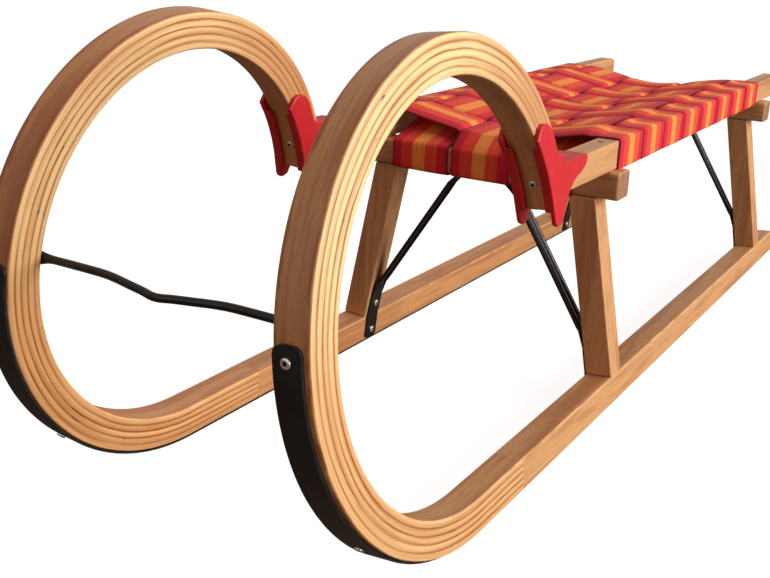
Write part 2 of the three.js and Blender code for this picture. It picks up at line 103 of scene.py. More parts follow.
# Tie bar: flat ends behind the horns, then (x in mm, share of the bulge) from each end to the kink
TIE_RADIUS = 3.3 * MM
TIE_PLATE_HALF_WIDTH = 5.5 * MM
TIE_PLATE_POWER = 0.35
TIE_ANGLE = 97.4
TIE_SEATS = (25, 23, 12, 3)
TIE_NECK = (-14 * MM, 1.5 * MM, 0)
TIE_BULGE = 9.5 * MM
TIE_BULGE_DROP = 3 * MM
TIE_BOW = ((68, 0), (50, 0.14), (32, 0.45), (14, 0.77), (4, 1))
TIE_AROUND = 28
SPLINE_STEPS = 5

# Webbing: crosswise rows over the rails, lengthwise bands over the crossbeams
ROWS = 8
BAND_WIDTH = 72 * MM
BAND_HALF_THICK = 0.9 * MM
BAND_SLACK = 0.25 * MM
BAND_OFF_WOOD = BAND_SLACK + BAND_HALF_THICK
BAND_STEP = 1.6 * MM

# Weave: height of a crossing, lengths over which bands turn or fade, unevenness, arch across a band
WEAVE_HEIGHT = 3.0 * MM
ROW_TURN = 7 * MM
LONG_TURN = 6 * MM
RAIL_FADE = 12 * MM
RAIL_FADE_FROM = 8 * MM
FREE_FADE = 10 * MM
ROW_SKEW = 0.7 * MM
ROW_SHIFT = 0.5 * MM
LONG_SWAY = 0.6 * MM
ROW_BULGE = 3.4 * MM
LONG_BULGE = 1.4 * MM
BULGE_ON_WOOD = 0.2 * MM
EDGE_CURL = 0.6 * MM
EDGE_DROP = 0.2

# Seat surface: how low it hangs, and how the bands fold over rails and crossbeams
SAG_MIDDLE = 18.5 * MM
SAG_ENDS = 20 * MM
SAG_ROUND = 0.24
RAIL_EDGE = 1.5 * MM
BEAM_EDGE = 4 * MM
BAND_TURN = 2.5 * MM
BEAM_LEAVE = 62
CROSS_TAIL = 12 * MM
SHORT_TAIL = 0.5 * MM
LONG_TAIL = 8 * MM

# Screw heads: (share of the radius, share of the height), then (share of the socket, depth)
HEAD_RADIUS = 4 * MM
HEAD_HEIGHT = 1.5 * MM
HEAD_PROFILE = ((1, 0), (1, 0.35), (0.97, 0.55), (0.88, 0.78), (0.74, 0.93), (0.60, 1))
SOCKET_RADIUS = 1.75 * MM
SOCKET_PROFILE = ((1.12, 0), (1, 0.12 * MM), (0.92, 1.1 * MM), (0.15, 1.2 * MM))
SOCKET_LOBES = 6
LOBE_SHARE = 0.14
SCREW_AROUND = 48
SUNK_SCREW = (0.8, 0.8, 0.3)

# Moulded connectors, with a round gate mark on the outer face
CONNECTOR_VOXEL = 0.6 * MM
GATE_MARK = (155.7 * MM, -282.3 * MM, 293.3 * MM)
GATE_RADIUS = 2.2 * MM
GATE_DEPTH = 0.7 * MM

# Stage: the floor goes from near to far shade over FLOOR_FADE; surroundings as (colour, strength)
WHITE = (1, 1, 1)
FLOOR_HALF = 30.0
FLOOR_FADE = (0.7, 1.6)
FLOOR_NEAR = (0.35, 0.35, 0.35)
FLOOR_FAR = (0.02, 0.02, 0.02)
FLOOR_GLOW = (0.88, 1.0)
FLOOR_BOUNCE = (0.20, 0.15, 0.12)
WORLD_SEEN = (WHITE, 1.0)
WORLD_FILL = ((1.0, 0.52, 0.38), 0.20)
WORLD_SHINE = (WHITE, 0.45)

# Lights as (place, target, size, power, colour, shows in reflections)
LIGHTS = {
    "key": ((3.8, 0.45, 1.35), (0, 0.05, 0.2), (3.4, 2.2), 235, (1.0, 0.97, 0.94), True),
    "top": ((0.1, 0.35, 2.3), (0, 0.1, 0.2), (1.7, 1.4), 9, (0.96, 0.98, 1.0), True),
    "front": ((-0.3, -2.3, 1.1), (0, -0.2, 0.2), (1.6, 1.2), 5, (1.0, 0.88, 0.80), True),
    "back": ((-1.9, 1.6, 0.8), (0, 0, 0.2), (1.6, 1.0), 16, (1.0, 0.95, 0.9), False),
}

# Camera, fitted to the sledge's own edges
CAMERA_PLACE = (0.5127, -1.1473, 0.4948)
CAMERA_YAW = math.radians(31.3)
CAMERA_PITCH = math.radians(-18.96)
CAMERA_ROLL = math.radians(2.08)
CAMERA_SENSOR = 36
CAMERA_LENS = 49.4


def box(node):
    """Lowest and highest corner of a CAD node, as arrays."""
    low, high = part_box(node)
    return np.array(low), np.array(high)


def smoothstep(t):
    """Smooth 0 to 1 over 0 to 1."""
    t = np.clip(t, 0, 1)
    return t * t * (3 - 2 * t)


# ---- runner line


def arc_point(angle, depth):
    """(forward, up) in the runner's plane at an angle round the bend and a depth above the sole."""
    cx, cy, start = 0.0, ARCS[0][0], 0.0
    for i, (radius, sweep) in enumerate(ARCS):
        if angle <= start + sweep or i == len(ARCS) - 1:
            t = math.radians(angle - 90)
            return cx + (radius - depth) * math.cos(t), cy + (radius - depth) * math.sin(t)
        start += sweep
        t = math.radians(start - 90)
        step = radius - ARCS[i + 1][0]
        cx += step * math.cos(t)
        cy += step * math.sin(t)


def bend_length(angle):
    """Length along the middle of the wood from the bend's start to an angle."""
    total, start = 0.0, 0.0
    for radius, sweep in ARCS:
        turned = min(max(angle - start, 0.0), sweep)
        total += (radius - RUNNER_DEPTH / 2) * math.radians(turned)
        start += sweep
    return total


HORN_ANGLE = sum(sweep for _, sweep in ARCS)
HORN_LENGTH = bend_length(HORN_ANGLE)


def bend_angle(length):
    """Angle round the bend at a length along the middle of the wood."""
    start, done = 0.0, 0.0
    for i, (radius, sweep) in enumerate(ARCS):
        reach = (radius - RUNNER_DEPTH / 2) * math.radians(sweep)
        if length <= done + reach or i == len(ARCS) - 1:
            return start + math.degrees((length - done) / (radius - RUNNER_DEPTH / 2))
        start += sweep
        done += reach


runner_low, runner_high = box("runner_left")
FRONT_REACH = max(arc_point(a, 0)[0] for a in np.arange(60, 120, 0.5))
BEND_Y = runner_low[1] + FRONT_REACH
FOOT_LENGTH = runner_high[1] - BEND_Y
SOLE_Z = runner_low[2] - RUNNER_EDGE * math.sin(CANT)


def on_runner(forward, up, across, side=1):
    """Point of a runner's own frame (forward, up from the sole, outwards) in the sledge's frame."""
    x = HALF_TRACK + across * math.cos(CANT) - up * math.sin(CANT)
    z = SOLE_Z + across * math.sin(CANT) + up * math.cos(CANT)
    y = BEND_Y - forward + 0 * x
    return np.stack([side * x, y, z], axis=-1)


def along_runner(length, depth):
    """(forward, up) at a length along the runner: negative on the foot, positive round the bend."""
    if length <= 0:
        return length + 0 * depth, depth
    return arc_point(bend_angle(length), depth)


# ---- mesh helpers


def mesh_object(name, vertices, faces, attributes=None):
    """A smooth mesh linked to the scene, with float vectors on its points."""
    mesh = bpy.data.meshes.new(name)
    mesh.from_pydata([tuple(v) for v in vertices], [], faces)
    for key, values in (attributes or {}).items():
        layer = mesh.attributes.new(key, "FLOAT_VECTOR", "POINT")
        layer.data.foreach_set("vector", np.asarray(values, np.float32).ravel())
    bm = bmesh.new()
    bm.from_mesh(mesh)
    bmesh.ops.recalc_face_normals(bm, faces=bm.faces)
    bm.to_mesh(mesh)
    bm.free()
    mesh.polygons.foreach_set("use_smooth", [True] * len(mesh.polygons))
    mesh.update()
    piece = bpy.data.objects.new(name, mesh)
    bpy.context.scene.collection.objects.link(piece)
    return piece


def loft(name, rings, attributes=None):
    """Closed body through rings (stations, points, 3), capped flat at both ends."""
    count, around, _ = rings.shape
    faces = []
    for i in range(count - 1):
        for j in range(around):
            k = (j + 1) % around
            faces.append((i * around + j, i * around + k, (i + 1) * around + k, (i + 1) * around + j))
    last = (count - 1) * around
    faces.append(tuple(range(around))[::-1])
    faces.append(tuple(last + j for j in range(around)))
    flat = {key: value.reshape(-1, 3) for key, value in (attributes or {}).items()}
    return mesh_object(name, rings.reshape(-1, 3), faces, flat)


def finish_piece(piece, node, look):
    """Gives a new piece its material and its body, and hides the CAD node it stands for."""
    piece.data.materials.clear()
    piece.data.materials.append(MATERIALS[look])
    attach(piece, "root")
    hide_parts(node)
    return piece


def smooth_by_angle(piece, degrees):
    """Keeps the edges sharper than an angle as hard edges."""
    limit = math.radians(degrees)
    bm = bmesh.new()
    bm.from_mesh(piece.data)
    for e in bm.edges:
        e.smooth = len(e.link_faces) == 2 and e.calc_face_angle(0.0) < limit
    bm.to_mesh(piece.data)
    bm.free()


def spline(points):
    """Catmull-Rom samples through points (n, k), so rows of any number of values."""
    points = np.asarray(points, float)
    padded = np.vstack([2 * points[0] - points[1], points, 2 * points[-1] - points[-2]])
    out = []
    for i in range(len(points) - 1):
        p0, p1, p2, p3 = padded[i : i + 4]
        for t in np.linspace(0, 1, SPLINE_STEPS, endpoint=False):
            slope = (p2 - p0) * t
            curve = (2 * p0 - 5 * p1 + 4 * p2 - p3) * t**2
            change = (3 * p1 - p0 - 3 * p2 + p3) * t**3
            out.append(0.5 * (2 * p1 + slope + curve + change))
    out.append(points[-1])
    return np.array(out)


def path_directions(centre):
    """Unit direction of a path at each of its points."""
    along = np.gradient(centre, axis=0)
    return along / np.linalg.norm(along, axis=1)[:, None]


def length_to_end(centre):
    """Length along a path from each point to the nearer end."""
    travelled = np.concatenate([[0], np.cumsum(np.linalg.norm(np.diff(centre, axis=0), axis=1))])
    return np.minimum(travelled, travelled[-1] - travelled)


# ---- materials


class Shader:
    """A material with one Principled shader, and short calls that add nodes to it."""

    def __init__(self, name):
        self.material = bpy.data.materials.new(name)
        self.material.use_nodes = True
        self.tree = self.material.node_tree
        self.tree.nodes.clear()
        self.output = self.tree.nodes.new("ShaderNodeOutputMaterial")
        self.body = self.tree.nodes.new("ShaderNodeBsdfPrincipled")
        self.tree.links.new(self.body.outputs[0], self.output.inputs[0])

    def put(self, socket, value):
        """Links a node's output to a socket, or sets the socket to a number, vector or colour."""
        if isinstance(value, bpy.types.NodeSocket):
            self.tree.links.new(value, socket)
        elif socket.type == "RGBA":
            socket.default_value = (*value, 1)
        else:
            socket.default_value = value

    def set(self, **inputs):
        """Sets inputs of the Principled shader by name."""
        for key, value in inputs.items():
            self.put(self.body.inputs[key.replace("_", " ")], value)

    def node(self, kind, inputs=None, output=0, **settings):
        """Adds a node and gives back one of its outputs."""
        made = self.tree.nodes.new("ShaderNode" + kind)
        for key, value in settings.items():
            setattr(made, key, value)
        for key, value in (inputs or {}).items():
            self.put(made.inputs[key], value)
        return made.outputs[output]

    def attribute(self, name):
        return self.node("Attribute", output=1, attribute_name=name)

    def place(self):
        return self.node("TexCoord", output=3)

    def math(self, operation, a, b=0.0):
        return self.node("Math", {0: a, 1: b}, operation=operation)

    def times(self, first, *others):
        for other in others:
            first = self.math("MULTIPLY", first, other)
        return first

    def plus(self, a, b):
        return self.math("ADD", a, b)

    def minus(self, a, b):
        return self.math("SUBTRACT", a, b)

    def size(self, a):
        return self.math("ABSOLUTE", a)

    def range(self, value, low, high, to_low=0.0, to_high=1.0):
        """Smooth step of a value between two limits, which may also run downwards."""
        inputs = {0: value, 1: low, 2: high, 3: to_low, 4: to_high}
        return self.node("MapRange", inputs, interpolation_type="SMOOTHSTEP")

    def noise(self, vector, scale, detail, roughness, offset=(0, 0, 0)):
        """Noise with its own scale along each axis."""
        place = self.node("Mapping", {"Vector": vector, "Scale": scale, "Location": offset})
        inputs = {"Vector": place, "Scale": 1.0, "Detail": detail, "Roughness": roughness}
        return self.node("TexNoise", inputs)

    def mix(self, factor, a, b, blend="MIX"):
        inputs = {0: factor, 6: a, 7: b}
        return self.node("Mix", inputs, 2, data_type="RGBA", blend_type=blend)

    def split(self, vector):
        made = self.tree.nodes.new("ShaderNodeSeparateXYZ")
        self.put(made.inputs[0], vector)
        return made.outputs

    def ramp(self, factor, stops):
        made = self.tree.nodes.new("ShaderNodeValToRGB")
        elements = made.color_ramp.elements
        while len(elements) < len(stops):
            elements.new(0.5)
        for element, (place, colour) in zip(elements, stops):
            element.position = place
            element.color = (*colour, 1)
        self.put(made.inputs[0], factor)
        return made.outputs[0]

    def bump(self, height, strength, distance):
        return self.node("Bump", {"Height": height, "Strength": strength, "Distance": distance})


# Beech
BEECH_LIGHT = (0.66, 0.365, 0.160)
BEECH_MID = (0.51, 0.255, 0.105)
BEECH_RED = (0.46, 0.200, 0.076)
BEECH_DARK = (0.31, 0.125, 0.044)
BEECH_CREAM = (0.88, 0.560, 0.250)
BEECH_PALE = (0.90, 0.690, 0.340)
BEECH_STAIN = (0.36, 0.110, 0.030)
END_GRAIN_DARK = (0.24, 0.115, 0.052)
END_GRAIN_LIGHT = (0.36, 0.195, 0.10)
GLUE_LINE = (0.35, 0.112, 0.006)
CRACK = (0.035, 0.013, 0.006)
BLEACH_START = (0.28, 0.40)
BLEACH_END = (0.76, 0.62)
RIM_WIDTH = 2.2 * MM

# Black paint, red plastic and zinc plate
PAINT_DEEP = (0.009, 0.010, 0.010)
PAINT_LIGHT = (0.017, 0.018, 0.017)
PAINT_RUBBED = (0.10, 0.095, 0.085)
# Light grey painted highlight along the ridges of a pressed strut
PAINT_RIDGE_HIGHLIGHT = (0.50, 0.50, 0.51)
PLASTIC_DEEP = (0.49, 0.008, 0.014)
PLASTIC_LIGHT = (0.57, 0.012, 0.019)
PLASTIC_MARK = (0.62, 0.045, 0.045)
ZINC_DULL = (0.66, 0.65, 0.62)
ZINC_BRIGHT = (0.84, 0.83, 0.79)
# Near black painted shade inside a screw socket
SOCKET_DARK = (0.012, 0.011, 0.010)

# Webbing: stripes from one edge of the band to the other, and its threads
CRIMSON = (0.60, 0.006, 0.032)
RED = (0.76, 0.050, 0.034)
GOLD = (0.90, 0.300, 0.058)
ORANGE_RED = (0.79, 0.075, 0.030)
STRIPES = (CRIMSON, RED, GOLD, ORANGE_RED, CRIMSON)
STRIPE_EDGES = (0.165, 0.375, 0.595, 0.805)
STRIPE_BLEND = 0.009
WARP_PITCH = 1.25 * MM
PICK_PITCH = 1.1 * MM
# Width of the painted shade along each band edge
RIM_SHADE_WIDTH = 4.2 * MM
SHEEN = (1.0, 0.70, 0.55)


def wood_layers(s, grain):
    """Beech colour and relief from a vector in metres whose X runs along the grain."""
    broad = s.noise(grain, (3, 34, 34), 3, 0.55)
    figure = s.noise(grain, (9, 170, 170), 4, 0.6)
    fibre = s.noise(grain, (70, 1900, 1900), 3, 0.6)
    fleck = s.noise(grain, (330, 2600, 2600), 1, 0.4, (3.1, 7.7, 1.3))
    tone = s.plus(s.times(broad, 0.6), s.times(figure, 0.4))
    colour = s.ramp(tone, ((0.36, BEECH_RED), (0.45, BEECH_MID), (0.52, BEECH_LIGHT), (0.64, BEECH_MID)))
    colour = s.mix(s.range(fibre, 0.35, 0.75, 0.0, 0.36), colour, BEECH_DARK)
    colour = s.mix(s.range(fleck, 0.60, 0.72, 0.0, 0.55), colour, BEECH_DARK)
    return colour, fibre, fleck


def wood_finish(s, grain, colour, fibre, fleck, rims):
    """Satin lacquer over the grain, duller in patches along the rims, where a patchy painted highlight makes
    them paler.
    """
    patches = s.range(s.noise(grain, (30, 140, 140), 3, 0.6, (5.5, 2.1, 8.3)), 0.38, 0.62)
    # Painted highlight: the rims are painted paler in patches, and the same mask makes them a little rougher
    paler_by = s.times(rims, patches)
    relief = s.minus(fibre, s.times(fleck, 0.6))
    dull = s.range(fibre, 0.2, 0.8, 0.38, 0.54)
    s.set(
        Base_Color=s.mix(s.times(paler_by, 0.45), colour, BEECH_CREAM),
        Roughness=s.plus(dull, s.times(paler_by, 0.12)),
        Normal=s.bump(relief, 0.14, 0.4 * MM),
        Coat_Weight=0.10,
        Coat_Roughness=0.3,
    )
    return s.material


def board_wood(name, turn, axis, offset):
    """Beech for a straight board, with its grain turned to the board's length and darker end grain."""
    s = Shader(name)
    grain = s.node("Mapping", {"Vector": s.place(), "Rotation": turn, "Location": offset})
    colour, fibre, fleck = wood_layers(s, grain)
    normal = s.node("NewGeometry", output=1)
    facing = s.node("VectorMath", {0: normal, 1: axis}, 1, operation="DOT_PRODUCT")
    end = s.range(s.size(facing), 0.75, 0.95)
    rings = s.noise(grain, (4, 260, 90), 3, 0.6, (1.7, 0.4, 5.2))
    colour = s.mix(end, colour, s.ramp(rings, ((0.35, END_GRAIN_DARK), (0.65, END_GRAIN_LIGHT))))
    rounded = s.node("Bevel", {"Radius": RIM_WIDTH}, samples=4)
    flat = s.node("VectorMath", {0: rounded, 1: normal}, 1, operation="DOT_PRODUCT")
    return wood_finish(s, grain, colour, fibre, fleck, s.range(flat, 0.985, 0.93))


def bleach_sides(s, colour, own, length, on_side, bent):
    """Ply sides: freshly cut strips of uneven lightness, palest in the front of the bend."""
    uneven = s.range(s.noise(own, (5, 3, 240), 3, 0.55, (7.3, 1.9, 0.4)), 0.3, 0.7, 0.08, 0.62)
    colour = s.mix(s.times(on_side, bent, uneven), colour, BEECH_CREAM)
    bleached = s.times(s.range(length, *BLEACH_START), s.range(length, *BLEACH_END))
    return s.mix(s.times(bleached, on_side, s.range(uneven, 0.1, 0.5, 0.35, 0.9)), colour, BEECH_PALE)


def draw_glue_lines(s, colour, grain, own, depth, bent):
    """Brown lines between the plies, which sway, swell and fade, with a shadow below and a few cracks."""
    sway = s.range(s.noise(grain, (14, 1, 30), 2, 0.5, (3.3, 0.2, 6.1)), 0.3, 0.7, -0.06, 0.06)
    swayed = s.plus(s.math("DIVIDE", depth, PLY), sway)
    past_line = s.minus(swayed, s.math("ROUND", swayed))
    inside = s.times(s.range(depth, 0.5 * PLY, 0.6 * PLY), s.range(depth, 4.5 * PLY, 4.4 * PLY), bent)
    edge = s.range(s.noise(own, (28, 200, 60), 2, 0.5), 0.3, 0.7, 0.16, 0.34)
    near = s.math("DIVIDE", s.size(past_line), edge)
    strength = s.range(s.noise(own, (7, 3, 60), 2, 0.6, (9.1, 2.2, 4.4)), 0.3, 0.66, 0.32, 1.0)
    shadow = s.times(s.range(past_line, 0.48, 0.0), s.range(past_line, -0.15, 0.0), 0.5, strength)
    colour = s.mix(s.times(shadow, inside), colour, BEECH_DARK)
    colour = s.mix(s.times(s.range(near, 1.0, 0.1), inside, strength), colour, GLUE_LINE)
    split = s.range(s.noise(own, (34, 2, 40), 2, 0.5, (2.6, 6.6, 0.8)), 0.68, 0.72)
    return s.mix(s.times(s.range(near, 0.7, 0.2), inside, split), colour, CRACK)


def runner_wood(name, ply_end, tint, offset):
    """Beech that follows the bend: plies with dark glue lines in the horn, one piece in the foot."""
    s = Shader(name)
    grain = s.attribute("grain")
    length, across, depth = s.split(grain)
    bent = s.range(length, -ply_end - 2 * MM, -ply_end + 1 * MM)
    index = s.times(s.math("FLOOR", s.math("DIVIDE", depth, PLY)), bent)
    shift = s.node("CombineXYZ", {0: s.times(index, 0.37), 1: s.times(index, 0.11)})
    own = s.node("VectorMath", {0: grain, 1: shift}, operation="ADD")
    own = s.node("VectorMath", {0: own, 1: offset}, operation="ADD")
    colour, fibre, fleck = wood_layers(s, own)

    off_middle = s.size(s.minus(across, RUNNER_WIDTH / 2))
    on_side = s.range(off_middle, RUNNER_WIDTH / 2 - 1.2 * MM, RUNNER_WIDTH / 2 - 0.5 * MM)
    colour = bleach_sides(s, colour, own, length, on_side, bent)
    colour = draw_glue_lines(s, colour, grain, own, depth, bent)

    sole = s.range(depth, 1.2 * MM, 0.6 * MM)
    to_rim = s.range(off_middle, 7 * MM, 15 * MM)
    cloud = s.noise(own, (24, 110, 1), 5, 0.7, (4.2, 0.9, 3.3))
    smudge = s.range(s.plus(cloud, s.times(to_rim, 0.3)), 0.60, 0.76, 0.0, 0.85)
    colour = s.mix(s.times(smudge, sole, bent), colour, BEECH_STAIN)
    # The tint darkens the whole runner: for the right runner, further from the key light, it is painted shade
    colour = s.mix(1.0, colour, tint, "MULTIPLY")
    # Painted shade: the runner's sides darken and redden towards the horn's tip
    painted_tip_shade = s.times(s.range(length, 0.7 * HORN_LENGTH, 0.98 * HORN_LENGTH, 0.0, 0.5), on_side)
    colour = s.mix(painted_tip_shade, colour, BEECH_RED)

    off_centre = s.size(s.minus(depth, RUNNER_DEPTH / 2))
    rim = s.times(s.range(off_middle, 12.6 * MM, 13.8 * MM), s.range(off_centre, 13.6 * MM, 14.8 * MM))
    return wood_finish(s, own, colour, fibre, fleck, rim)


def black_paint(name, roughness, paler_by):
    """Black painted steel with a fine orange-peel skin, rubbed spots and a painted highlight along pressed
    ridges.
    """
    s = Shader(name)
    place = s.place()
    # Painted highlight: light grey along the ridges beside the strut's groove, read from a mesh attribute
    ridge_highlight = s.split(s.attribute("ridge_highlight_mask"))[0]
    cloud = s.noise(place, (45, 45, 45), 4, 0.6)
    skin = s.noise(place, (900, 900, 900), 2, 0.5)
    rub = s.range(s.noise(place, (160, 30, 160), 5, 0.7), 0.62, 0.74, 0.0, paler_by)
    painted = s.mix(rub, s.ramp(cloud, ((0.3, PAINT_DEEP), (0.7, PAINT_LIGHT))), PAINT_RUBBED)
    s.set(
        Base_Color=s.mix(s.range(ridge_highlight, 0.25, 1.0, 0.0, 0.9), painted, PAINT_RIDGE_HIGHLIGHT),
        Roughness=s.range(cloud, 0.3, 0.7, roughness, roughness + 0.12),
        Normal=s.bump(skin, 0.08, 0.3 * MM),
        Specular_IOR_Level=0.3,
    )
    return s.material


def red_plastic(name):
    """Moulded semi-gloss red plastic with a fine spark-eroded skin and light handling marks."""
    s = Shader(name)
    place = s.place()
    cloud = s.noise(place, (30, 30, 30), 3, 0.5)
    skin = s.noise(place, (1500, 1500, 1500), 2, 0.5)
    marks = s.range(s.noise(place, (500, 70, 120), 3, 0.6), 0.6, 0.75, 0.0, 0.35)
    s.set(
        Base_Color=s.mix(marks, s.ramp(cloud, ((0.3, PLASTIC_DEEP), (0.7, PLASTIC_LIGHT))), PLASTIC_MARK),
        Roughness=s.plus(s.range(skin, 0.3, 0.7, 0.38, 0.48), s.times(marks, 0.2)),
        Normal=s.bump(skin, 0.06, 0.3 * MM),
        Subsurface_Weight=0.15,
        Subsurface_Radius=(6 * MM, 1 * MM, 1 * MM),
        Subsurface_Scale=1.0,
    )
    return s.material


def zinc(name, brightness):
    """Zinc-plated screw steel, with painted shade in its socket."""
    s = Shader(name)
    side_x, side_y, height = s.split(s.attribute("head"))
    radius = s.node("VectorMath", {0: s.node("CombineXYZ", {0: side_x, 1: side_y})}, 1, operation="LENGTH")
    cloud = s.noise(s.place(), (700, 700, 700), 3, 0.6)
    low, high = (tuple(brightness * c for c in colour) for colour in (ZINC_DULL, ZINC_BRIGHT))
    # Painted shade: inside the socket the colour is near black and not metallic
    outside_socket = s.math("MAXIMUM", s.range(radius, 1.55 * MM, 2.1 * MM), s.range(height, 2 * MM, 4 * MM))
    s.set(
        Base_Color=s.mix(outside_socket, SOCKET_DARK, s.ramp(cloud, ((0.3, low), (0.7, high)))),
        Metallic=s.times(outside_socket, 0.75),
        Roughness=s.range(cloud, 0.3, 0.7, 0.24, 0.40),
        Normal=s.bump(cloud, 0.05, 0.2 * MM),
    )
    return s.material


def stripe_stops():
    """Colour stops of the webbing's stripes, with a narrow blend at each edge."""
    stops = []
    for i, edge in enumerate(STRIPE_EDGES):
        stops.append((edge - STRIPE_BLEND, STRIPES[i]))
        stops.append((edge + STRIPE_BLEND, STRIPES[i + 1]))
    return stops


def webbing(name):
    """Striped woven band: X of its attribute runs along the band, Y across it from edge to edge."""
    s = Shader(name)
    band = s.attribute("band")
    along, across, _ = s.split(band)
    fray = s.noise(band, (900, 500, 1), 1, 0.5)
    place = s.plus(s.math("DIVIDE", across, BAND_WIDTH), 0.5)
    place = s.plus(place, s.range(fray, 0.2, 0.8, -0.004, 0.004))
    colour = s.ramp(place, stripe_stops())

    warp = s.math("SINE", s.times(across, 2 * math.pi / WARP_PITCH))
    pick = s.math("SINE", s.times(along, 2 * math.pi / PICK_PITCH))
    cords = s.plus(s.times(warp, 0.35), s.times(warp, pick, 0.65))
    fade = s.noise(band, (14, 420, 3), 3, 0.6)
    to_rim = s.minus(BAND_WIDTH / 2, s.size(across))
    shade = s.plus(s.range(cords, -1, 1, 0.84, 1.06), s.range(fade, 0.3, 0.7, -0.12, 0.10))
    # Painted shade: each band darkens over its last few millimetres at both edges, where bands meet
    shade = s.times(shade, s.range(to_rim, 0.0, RIM_SHADE_WIDTH, 0.34, 1.0))
    tint = s.node("CombineColor", {0: shade, 1: shade, 2: shade})
    s.set(
        Base_Color=s.mix(1.0, colour, tint, "MULTIPLY"),
        Roughness=s.range(cords, -1, 1, 0.85, 0.70),
        Normal=s.bump(cords, 0.3, 0.3 * MM),
        Specular_IOR_Level=0.3,
        Sheen_Weight=0.08,
        Sheen_Roughness=0.5,
        Sheen_Tint=SHEEN,
    )
    return s.material


MATERIALS = {
    "runner_left": runner_wood("beech_runner_left", PLY_END["left"], (1.0, 1.0, 1.0), (0.0, 0.0, 0.0)),
    # The right runner is a darker, redder copy of the same beech, as painted shade
    "runner_right": runner_wood("beech_runner_right", PLY_END["right"], (1.0, 0.91, 0.85), (2.3, 0.4, 0.1)),
    "rail": board_wood("beech_rail", (0, 0, -QUARTER), (0, 1, 0), (0.21, 0.07, 0)),
    "beam": board_wood("beech_crossbeam", (0, 0, 0), (1, 0, 0), (0.55, 0.31, 0.12)),
    "leg": board_wood("beech_leg", (0, QUARTER, 0), (0, 0, 1), (0.13, 0.62, 0.41)),
    "shoe": black_paint("shoe_black_paint", 0.36, 0.12),
    "rod": black_paint("rod_black_paint", 0.18, 0.06),
    "plastic": red_plastic("moulded_red_plastic"),
    "zinc": zinc("zinc_plate", 1.0),
    # Darker zinc for the small screws on top of the rails
    "dark_zinc": zinc("darker_zinc_plate", 0.3),
    "webbing": webbing("striped_webbing"),
}


# ---- bentwood runners


def heel_span(to_heel):
    """Lowest and highest depth of the wood at a distance in front of the heel."""
    low, high = 0.0, RUNNER_DEPTH
    if to_heel < HEEL_LOW_RADIUS:
        low = HEEL_LOW_RADIUS - math.sqrt(HEEL_LOW_RADIUS**2 - (HEEL_LOW_RADIUS - to_heel) ** 2)
    if to_heel < HEEL_TOP_RADIUS:
        drop = math.sqrt(HEEL_TOP_RADIUS**2 - (HEEL_TOP_RADIUS - to_heel) ** 2)
        high = RUNNER_DEPTH - HEEL_TOP_RADIUS + drop
    return low, high


def end_inset(distance):
    """How far the section shrinks all round near a cut end with a soft edge."""
    if distance >= TIP_EDGE:
        return 0.0
    return TIP_EDGE - math.sqrt(max(TIP_EDGE**2 - (TIP_EDGE - distance) ** 2, 0.0))


def runner_stations(side):
    """Lengths of the runner's rings, close together at both ends and where the plies begin."""
    end = PLY_END[side]
    heel = HEEL_TOP_RADIUS * (1 - np.cos(np.linspace(0, QUARTER, 12)))
    tip = TIP_EDGE * (1 - np.cos(np.linspace(0, QUARTER, 5)))[::-1]
    parts = (
        -FOOT_LENGTH + heel,
        np.linspace(-FOOT_LENGTH + HEEL_TOP_RADIUS, -end - 6 * MM, 40)[1:],
        np.linspace(-end - 6 * MM, -end + 8 * MM, 15)[1:],
        np.linspace(-end + 8 * MM, 0, 16)[1:],
        np.linspace(0, HORN_LENGTH - TIP_EDGE, 190)[1:],
        HORN_LENGTH - tip[1:],
    )
    return np.concatenate(parts)


def runner_section():
    """Outline round the runner: points (across, depth), and the inward push of the grooves in it."""
    points, push = [], []

    def add(across, depth, inward=0.0):
        points.append((across, depth))
        push.append(inward)

    def corner_arc(across, depth, start):
        for turned in np.radians(np.linspace(0, 90, 6)):
            angle = math.radians(start) + turned
            add(across + RUNNER_EDGE * math.cos(angle), depth + RUNNER_EDGE * math.sin(angle))

    def face(start, end, depth):
        for share in (0.03, 0.25, 0.5, 0.75, 0.97):
            add(start + (end - start) * share, depth)

    def grooves(across, inward, depths, step):
        for depth in depths:
            add(across, depth - step)
            add(across, depth, inward)
            add(across, depth + step)

    glue_lines = [PLY * i for i in range(1, PLIES)]
    right, top = RUNNER_WIDTH - RUNNER_EDGE, RUNNER_DEPTH - RUNNER_EDGE
    corner_arc(RUNNER_EDGE, RUNNER_EDGE, 180)
    face(RUNNER_EDGE, right, 0)
    corner_arc(right, RUNNER_EDGE, 270)
    grooves(RUNNER_WIDTH, -1.0, glue_lines, PLY_GROOVE_HALF_WIDTH)
    corner_arc(right, top, 0)
    face(right, RUNNER_EDGE, RUNNER_DEPTH)
    corner_arc(RUNNER_EDGE, top, 90)
    grooves(0.0, 1.0, glue_lines[::-1], -PLY_GROOVE_HALF_WIDTH)
    return np.array(points), np.array(push)


def build_runner(side):
    section, push = runner_section()
    rings, grain = [], []
    for length in runner_stations(side):
        low, high = heel_span(length + FOOT_LENGTH)
        inset = max(end_inset(length + FOOT_LENGTH), end_inset(HORN_LENGTH - length))
        groove = PLY_GROOVE * smoothstep((length + PLY_END[side]) / PLY_FADE)
        across = section[:, 0] + push * groove
        across = RUNNER_WIDTH / 2 + (across - RUNNER_WIDTH / 2) * (1 - 2 * inset / RUNNER_WIDTH)
        share = 0.5 + (section[:, 1] / RUNNER_DEPTH - 0.5) * (1 - 2 * inset / RUNNER_DEPTH)
        depth = low + share * (high - low)
        forward, up = along_runner(length, depth)
        rings.append(on_runner(forward, up, across, SIDES[side]))
        grain.append(np.stack([length + 0 * depth, across, depth], axis=-1))
    piece = loft(f"bentwood_runner_{side}", np.array(rings), {"grain": np.array(grain)})
    return finish_piece(piece, f"runner_{side}", f"runner_{side}")


# ---- steel shoes, struts and tie bar


